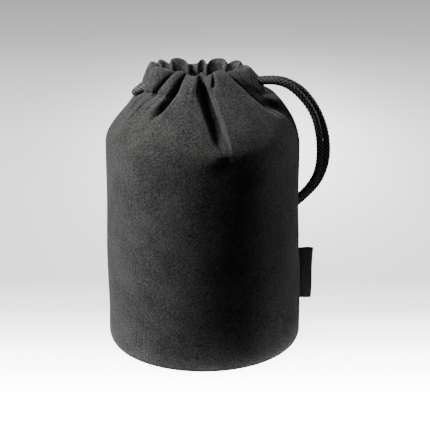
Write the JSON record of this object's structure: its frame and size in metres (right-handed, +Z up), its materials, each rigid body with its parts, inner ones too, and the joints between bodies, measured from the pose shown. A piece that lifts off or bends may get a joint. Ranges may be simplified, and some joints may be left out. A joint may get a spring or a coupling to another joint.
{
  "type": "drawstring lens pouch",
  "caption": "Soft cylindrical suede pouch for a lens, drawn shut at the top by a braided cord in a gathered casing, with a folded ribbon label in the side seam.",
  "frame": {"origin": "centre of the underside of the base panel", "axes": "+Z up through the mouth; -Y is the pictured front; +X is the side where the drawcord leaves and the label is sewn in"},
  "size_m": [0.1163, 0.1134, 0.1503],
  "materials": {
    "suede": "charcoal micro-suede with a short soft nap",
    "padding": "thin needled felt",
    "lining": "smooth brushed lining cloth",
    "seam_tape": "woven seam tape",
    "cord": "black round braided cord",
    "label_ribbon": "black woven ribbon, bare"
  },
  "bodies": {
    "pouch": {"front_panel": "suede", "back_panel": "suede", "front_padding": "padding", "back_padding": "padding", "lining_wall": "lining", "base_panel": "suede", "base_seam_binding": "seam_tape", "base_padding": "padding", "lining_base": "lining", "left_seam_tape": "seam_tape", "right_seam_tape": "seam_tape", "drawcord_tail_front": "cord", "drawcord_tail_back": "cord"},
    "front_fold_1": {"front_pleat_1": "suede", "drawcord_front_1": "cord"},
    "front_fold_2": {"front_pleat_2": "suede", "drawcord_front_2": "cord"},
    "front_fold_3": {"front_pleat_3": "suede", "drawcord_front_3": "cord"},
    "front_fold_4": {"front_pleat_4": "suede", "drawcord_front_4": "cord"},
    "back_fold_1": {"back_pleat_1": "suede", "drawcord_back_1": "cord"},
    "back_fold_2": {"back_pleat_2": "suede", "drawcord_back_2": "cord"},
    "back_fold_3": {"back_pleat_3": "suede", "drawcord_back_3": "cord"},
    "back_fold_4": {"back_pleat_4": "suede", "drawcord_back_4": "cord"},
    "cord_knot": {"drawcord_knot": "cord", "drawcord_end_1": "cord", "drawcord_end_2": "cord"},
    "label": {"label": "label_ribbon"}
  },
  "joints": [
    {"name": "mouth_opening", "type": "hinge", "parent": "pouch", "child": "front_fold_1", "pos_m": [0.04668, -0.01792, 0.115], "axis": [0.3584, 0.9336, 0], "range_deg": [0, 36], "deforming": ["drawcord_tail_front", "drawcord_tail_back"]},
    {"name": "front_fold_2_opening", "type": "hinge", "parent": "pouch", "child": "front_fold_2", "pos_m": [0.02424, -0.04373, 0.115], "axis": [0.8746, 0.4848, 0], "range_deg": [0, 44]},
    {"name": "front_fold_3_opening", "type": "hinge", "parent": "pouch", "child": "front_fold_3", "pos_m": [-0.0104, -0.04891, 0.115], "axis": [0.9781, -0.2079, 0], "range_deg": [0, 44]},
    {"name": "front_fold_4_opening", "type": "hinge", "parent": "pouch", "child": "front_fold_4", "pos_m": [-0.04415, -0.02347, 0.115], "axis": [0.4695, -0.8829, 0], "range_deg": [0, 36]},
    {"name": "back_fold_1_opening", "type": "hinge", "parent": "pouch", "child": "back_fold_1", "pos_m": [-0.04603, 0.01954, 0.115], "axis": [-0.3907, -0.9205, 0], "range_deg": [0, 36]},
    {"name": "back_fold_2_opening", "type": "hinge", "parent": "pouch", "child": "back_fold_2", "pos_m": [-0.01792, 0.04668, 0.115], "axis": [-0.9336, -0.3584, 0], "range_deg": [0, 44]},
    {"name": "back_fold_3_opening", "type": "hinge", "parent": "pouch", "child": "back_fold_3", "pos_m": [0.02034, 0.04568, 0.115], "axis": [-0.9135, 0.4067, 0], "range_deg": [0, 44]},
    {"name": "back_fold_4_opening", "type": "hinge", "parent": "pouch", "child": "back_fold_4", "pos_m": [0.04636, 0.01873, 0.115], "axis": [-0.3746, 0.9272, 0], "range_deg": [0, 36]},
    {"name": "cord_draw", "type": "slide", "parent": "pouch", "child": "cord_knot", "axis": [1, 0, 0], "range_m": [0, 0.052]},
    {"name": "label_flap", "type": "hinge", "parent": "pouch", "child": "label", "pos_m": [0.0508, 0, 0.038], "axis": [0, 0, 1], "range_deg": [-35, 35]}
  ],
  "couplings": [
    {"joint": "front_fold_2_opening", "follows": "mouth_opening", "ratio": 1.22},
    {"joint": "front_fold_3_opening", "follows": "mouth_opening", "ratio": 1.22},
    {"joint": "front_fold_4_opening", "follows": "mouth_opening", "ratio": 1},
    {"joint": "back_fold_1_opening", "follows": "mouth_opening", "ratio": 1},
    {"joint": "back_fold_2_opening", "follows": "mouth_opening", "ratio": 1.22},
    {"joint": "back_fold_3_opening", "follows": "mouth_opening", "ratio": 1.22},
    {"joint": "back_fold_4_opening", "follows": "mouth_opening", "ratio": 1},
    {"joint": "cord_draw", "follows": "mouth_opening", "m_per_rad": 0.0827}
  ]
}
